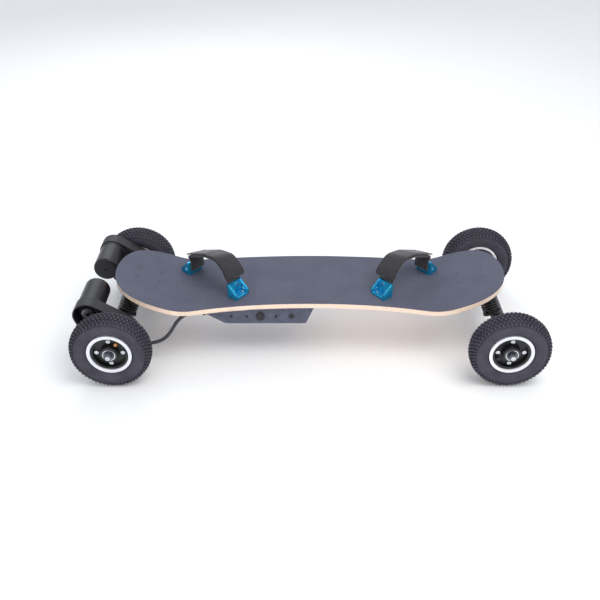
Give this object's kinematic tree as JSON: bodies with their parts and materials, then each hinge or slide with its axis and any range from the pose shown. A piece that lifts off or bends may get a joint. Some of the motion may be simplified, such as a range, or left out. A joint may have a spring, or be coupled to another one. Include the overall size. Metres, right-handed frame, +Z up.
{
  "type": "electric skateboard",
  "caption": "Off-road electric skateboard: cambered ply deck, sprung leaning trucks, air tyres, belt drive to the rear wheels and padded foot straps.",
  "frame": {"origin": "on the ground under the middle of the board, at the bottom centre of its box", "axes": "+X towards the nose, away from the motors; +Y to the left of a rider facing the nose; +Z up"},
  "size_m": [1.172, 0.501, 0.2548],
  "materials": {
    "maple_ply": "clear lacquered maple plywood, pressed camber",
    "grip": "coarse abrasive grip tape",
    "tyre_rubber": "knobbly moulded rubber",
    "rim_silver": "bright silver enamel",
    "hub_black": "satin glass-filled nylon",
    "steel": "zinc plated steel",
    "black_metal": "satin black powder coat",
    "motor_black": "satin black anodised shell",
    "spring_black": "gloss black coated spring steel",
    "enclosure_grey": "textured ABS",
    "black_plastic": "moulded nylon",
    "foam": "closed-cell foam",
    "cell_wrap": "shrink-wrapped cells",
    "circuit": "populated circuit board",
    "cable_sleeve": "soft cable sleeve",
    "blue_anodised": "cyan-blue anodised, machined",
    "strap_fabric": "padded nylon webbing",
    "belt_rubber": "toothed synthetic belt"
  },
  "bodies": {
    "root": {"deck": "maple_ply", "grip_tape": "grip", "front_base_plate": "black_metal", "rear_base_plate": "black_metal", "front_pivot_pin": "steel", "rear_pivot_pin": "steel", "truck_bolts": "steel", "enclosure_shell": "enclosure_grey", "enclosure_gasket": "foam", "enclosure_screws": "steel", "battery_cells": "cell_wrap", "speed_controller": "circuit", "charge_port": "black_plastic", "cable_glands": "black_plastic", "motor_cable": "cable_sleeve", "binding_brackets": "blue_anodised", "binding_screws": "steel", "front_foot_strap": "strap_fabric", "rear_foot_strap": "strap_fabric", "front_springs": "spring_black", "rear_springs": "spring_black"},
    "front_truck": {"front_hanger": "black_metal", "front_axle": "steel", "front_axle_nuts": "steel"},
    "rear_truck": {"rear_hanger": "black_metal", "rear_axle": "steel", "rear_axle_nuts": "steel", "drive_screws": "steel", "left_motor_mount": "black_metal", "left_motor_body": "motor_black", "left_drive_belt": "belt_rubber", "left_belt_cover": "black_plastic", "right_motor_mount": "black_metal", "right_motor_body": "motor_black", "right_drive_belt": "belt_rubber", "right_belt_cover": "black_plastic"},
    "power_button": {"power_button": "black_plastic"},
    "port_cap": {"charge_port_cap": "black_plastic"},
    "front_left_wheel": {"front_left_tyre": "tyre_rubber", "front_left_rim": "rim_silver", "front_left_hub": "hub_black", "front_left_hub_hardware": "steel"},
    "front_right_wheel": {"front_right_tyre": "tyre_rubber", "front_right_rim": "rim_silver", "front_right_hub": "hub_black", "front_right_hub_hardware": "steel"},
    "rear_left_wheel": {"rear_left_tyre": "tyre_rubber", "rear_left_rim": "rim_silver", "rear_left_hub": "hub_black", "rear_left_hub_hardware": "steel", "left_wheel_pulley": "black_metal"},
    "rear_right_wheel": {"rear_right_tyre": "tyre_rubber", "rear_right_rim": "rim_silver", "rear_right_hub": "hub_black", "rear_right_hub_hardware": "steel", "right_wheel_pulley": "black_metal"},
    "left_motor_shaft": {"left_motor_rotor": "steel", "left_motor_pulley": "steel"},
    "right_motor_shaft": {"right_motor_rotor": "steel", "right_motor_pulley": "steel"}
  },
  "joints": [
    {"name": "front_lean", "type": "hinge", "parent": "root", "child": "front_truck", "pos_m": [0.452, 0, 0.135], "axis": [0.866, 0, 0.5], "range_deg": [-14, 14], "stiffness_Nm_per_rad": 60, "deforming": ["front_springs"]},
    {"name": "rear_lean", "type": "hinge", "parent": "root", "child": "rear_truck", "pos_m": [-0.452, 0, 0.135], "axis": [0.866, 0, -0.5], "range_deg": [-14, 14], "stiffness_Nm_per_rad": 60, "deforming": ["rear_springs", "motor_cable"]},
    {"name": "front_left_wheel_spin", "type": "hinge", "parent": "front_truck", "child": "front_left_wheel", "pos_m": [0.486, 0.2125, 0.1], "axis": [0, 1, 0], "continuous": true},
    {"name": "front_right_wheel_spin", "type": "hinge", "parent": "front_truck", "child": "front_right_wheel", "pos_m": [0.486, -0.2125, 0.1], "axis": [0, 1, 0], "continuous": true},
    {"name": "rear_left_wheel_spin", "type": "hinge", "parent": "rear_truck", "child": "rear_left_wheel", "pos_m": [-0.486, 0.2125, 0.1], "axis": [0, 1, 0], "continuous": true},
    {"name": "rear_right_wheel_spin", "type": "hinge", "parent": "rear_truck", "child": "rear_right_wheel", "pos_m": [-0.486, -0.2125, 0.1], "axis": [0, 1, 0], "continuous": true},
    {"name": "left_motor_spin", "type": "hinge", "parent": "rear_truck", "child": "left_motor_shaft", "pos_m": [-0.543, 0.1, 0.17], "axis": [0, 1, 0], "continuous": true},
    {"name": "right_motor_spin", "type": "hinge", "parent": "rear_truck", "child": "right_motor_shaft", "pos_m": [-0.543, -0.1, 0.17], "axis": [0, 1, 0], "continuous": true},
    {"name": "power_button_press", "type": "slide", "parent": "root", "child": "power_button", "axis": [0, 1, 0], "range_m": [0, 0.0015], "stiffness_N_per_m": 600},
    {"name": "port_cap_hinge", "type": "hinge", "parent": "root", "child": "port_cap", "pos_m": [-0.126, -0.1066, 0.135], "axis": [1, 0, 0], "range_deg": [-120, 0]}
  ],
  "couplings": [
    {"joint": "left_motor_spin", "follows": "rear_left_wheel_spin", "ratio": 4.125},
    {"joint": "right_motor_spin", "follows": "rear_right_wheel_spin", "ratio": 4.125}
  ]
}
